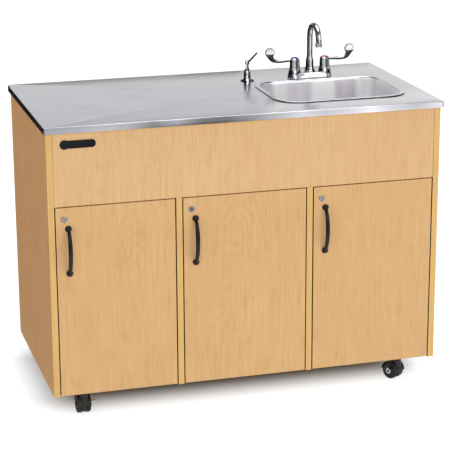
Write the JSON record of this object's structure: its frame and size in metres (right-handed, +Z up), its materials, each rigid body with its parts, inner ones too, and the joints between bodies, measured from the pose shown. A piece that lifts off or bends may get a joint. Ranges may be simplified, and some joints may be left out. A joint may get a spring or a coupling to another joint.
{
  "type": "portable handwash sink",
  "caption": "Laminate cabinet on casters with a stainless worktop, drop-in bowl, gooseneck faucet, soap pump, and its own water tanks, pump and heater.",
  "frame": {"origin": "on the floor under the middle of the whole object", "axes": "+Z up, +X to the right as seen from the doors, +Y from the doors to the back"},
  "size_m": [1.231, 0.659, 1.1002],
  "materials": {
    "laminate": "satin maple-pattern laminate with a straight and cathedral grain",
    "stainless": "satin, brushed along the width",
    "stainless_bowl": "satin, brushed",
    "chrome": "polished",
    "black_metal": "semi-gloss black",
    "badge_black": "gloss black, blank",
    "black_plastic": "fine moulded texture",
    "tyre": "matt black",
    "tank_plastic": "translucent natural polyethylene",
    "cap_blue": "moulded blue",
    "cap_grey": "moulded grey",
    "heater_jacket": "smooth off-white",
    "hose_clear": "clear braided hose",
    "grey_plastic": "moulded grey",
    "core_board": "plywood edge",
    "zinc_plated": "bright zinc"
  },
  "bodies": {
    "cabinet": {"side_panel_left": "laminate", "side_panel_right": "laminate", "divider_left": "laminate", "divider_right": "laminate", "bottom_panel": "laminate", "front_apron": "laminate", "back_panel": "laminate", "power_cord_gland": "black_plastic", "badge_plate": "badge_black", "countertop_sheet": "stainless", "countertop_core": "core_board", "sink_bowl": "stainless_bowl", "drain_strainer": "stainless_bowl", "drain_tailpiece": "grey_plastic", "waste_tank": "tank_plastic", "waste_tank_cap": "cap_grey", "fresh_tank": "tank_plastic", "fresh_tank_cap": "cap_blue", "drain_hose": "grey_plastic", "water_pump": "black_plastic", "water_heater": "heater_jacket", "suction_hose": "hose_clear", "cold_supply_hose": "hose_clear", "heater_feed_hose": "hose_clear", "hot_supply_hose": "hose_clear", "faucet_base": "chrome", "spout_nut": "chrome", "soap_dispenser_collar": "chrome", "soap_bottle": "tank_plastic", "hinge_left_lower": "zinc_plated", "hinge_left_upper": "zinc_plated", "hinge_middle_lower": "zinc_plated", "hinge_middle_upper": "zinc_plated", "hinge_right_lower": "zinc_plated", "hinge_right_upper": "zinc_plated"},
    "door_left": {"door_left": "laminate", "pull_left": "black_metal"},
    "door_middle": {"door_middle": "laminate", "pull_middle": "black_metal"},
    "door_right": {"door_right": "laminate", "pull_right": "black_metal"},
    "spout": {"spout": "chrome", "spout_aerator": "chrome"},
    "handle_cold": {"handle_cold": "chrome"},
    "handle_hot": {"handle_hot": "chrome"},
    "soap_stem": {"soap_pump_stem": "chrome"},
    "soap_nozzle": {"soap_nozzle": "chrome"},
    "lock_left": {"lock_left": "chrome"},
    "lock_middle": {"lock_middle": "chrome"},
    "lock_right": {"lock_right": "chrome"},
    "caster_front_left": {"caster_hood_front_left": "black_plastic"},
    "wheel_front_left": {"caster_wheel_front_left": "tyre"},
    "brake_front_left": {"brake_lever_front_left": "zinc_plated"},
    "caster_front_right": {"caster_hood_front_right": "black_plastic"},
    "wheel_front_right": {"caster_wheel_front_right": "tyre"},
    "brake_front_right": {"brake_lever_front_right": "zinc_plated"},
    "caster_back_left": {"caster_hood_back_left": "black_plastic"},
    "wheel_back_left": {"caster_wheel_back_left": "tyre"},
    "caster_back_right": {"caster_hood_back_right": "black_plastic"},
    "wheel_back_right": {"caster_wheel_back_right": "tyre"}
  },
  "joints": [
    {"name": "door_left_hinge", "type": "hinge", "parent": "cabinet", "child": "door_left", "pos_m": [-0.2285, -0.2985, 0.37875], "axis": [0, 0, 1], "range_deg": [0, 105]},
    {"name": "lock_left_turn", "type": "hinge", "parent": "door_left", "child": "lock_left", "pos_m": [-0.5625, -0.289, 0.6355], "axis": [0, -1, 0], "range_deg": [0, 90]},
    {"name": "door_middle_hinge", "type": "hinge", "parent": "cabinet", "child": "door_middle", "pos_m": [0.1795, -0.2985, 0.37875], "axis": [0, 0, 1], "range_deg": [0, 105]},
    {"name": "lock_middle_turn", "type": "hinge", "parent": "door_middle", "child": "lock_middle", "pos_m": [-0.1785, -0.289, 0.6355], "axis": [0, -1, 0], "range_deg": [0, 90]},
    {"name": "door_right_hinge", "type": "hinge", "parent": "cabinet", "child": "door_right", "pos_m": [0.5875, -0.2985, 0.37875], "axis": [0, 0, 1], "range_deg": [0, 105]},
    {"name": "lock_right_turn", "type": "hinge", "parent": "door_right", "child": "lock_right", "pos_m": [0.2295, -0.289, 0.6355], "axis": [0, -1, 0], "range_deg": [0, 90]},
    {"name": "spout_swivel", "type": "hinge", "parent": "cabinet", "child": "spout", "pos_m": [0.3405, 0.1525, 0.974], "axis": [0, 0, 1], "range_deg": [-90, 90]},
    {"name": "cold_handle_turn", "type": "hinge", "parent": "cabinet", "child": "handle_cold", "pos_m": [0.2897, 0.1525, 0.954], "axis": [0, 0, 1], "range_deg": [0, 90]},
    {"name": "hot_handle_turn", "type": "hinge", "parent": "cabinet", "child": "handle_hot", "pos_m": [0.3913, 0.1525, 0.954], "axis": [0, 0, -1], "range_deg": [0, 90]},
    {"name": "soap_pump_press", "type": "slide", "parent": "cabinet", "child": "soap_stem", "axis": [0, 0, -1], "range_m": [0, 0.012], "stiffness_N_per_m": 600, "springref_m": -0.008},
    {"name": "soap_nozzle_swivel", "type": "hinge", "parent": "soap_stem", "child": "soap_nozzle", "pos_m": [0.1325, 0.1615, 0.975], "axis": [0, 0, 1], "continuous": true},
    {"name": "caster_front_left_swivel", "type": "hinge", "parent": "cabinet", "child": "caster_front_left", "pos_m": [-0.5095, -0.2425, 0.064], "axis": [0, 0, 1], "continuous": true},
    {"name": "wheel_front_left_roll", "type": "hinge", "parent": "caster_front_left", "child": "wheel_front_left", "pos_m": [-0.5095, -0.2265, 0.027], "axis": [1, 0, 0], "continuous": true},
    {"name": "brake_front_left_press", "type": "hinge", "parent": "caster_front_left", "child": "brake_front_left", "pos_m": [-0.5095, -0.2265, 0.027], "axis": [1, 0, 0], "range_deg": [0, 25]},
    {"name": "caster_front_right_swivel", "type": "hinge", "parent": "cabinet", "child": "caster_front_right", "pos_m": [0.5095, -0.2425, 0.064], "axis": [0, 0, 1], "continuous": true},
    {"name": "wheel_front_right_roll", "type": "hinge", "parent": "caster_front_right", "child": "wheel_front_right", "pos_m": [0.5015, -0.22864, 0.027], "axis": [0.866, 0.5, 0], "continuous": true},
    {"name": "brake_front_right_press", "type": "hinge", "parent": "caster_front_right", "child": "brake_front_right", "pos_m": [0.5015, -0.22864, 0.027], "axis": [0.866, 0.5, 0], "range_deg": [0, 25]},
    {"name": "caster_back_left_swivel", "type": "hinge", "parent": "cabinet", "child": "caster_back_left", "pos_m": [-0.5095, 0.2455, 0.064], "axis": [0, 0, 1], "continuous": true},
    {"name": "wheel_back_left_roll", "type": "hinge", "parent": "caster_back_left", "child": "wheel_back_left", "pos_m": [-0.50617, 0.26115, 0.027], "axis": [0.9781, -0.2079, 0], "continuous": true},
    {"name": "caster_back_right_swivel", "type": "hinge", "parent": "cabinet", "child": "caster_back_right", "pos_m": [0.5095, 0.2455, 0.064], "axis": [0, 0, 1], "continuous": true},
    {"name": "wheel_back_right_roll", "type": "hinge", "parent": "caster_back_right", "child": "wheel_back_right", "pos_m": [0.50727, 0.26134, 0.027], "axis": [0.9903, 0.1392, 0], "continuous": true}
  ]
}
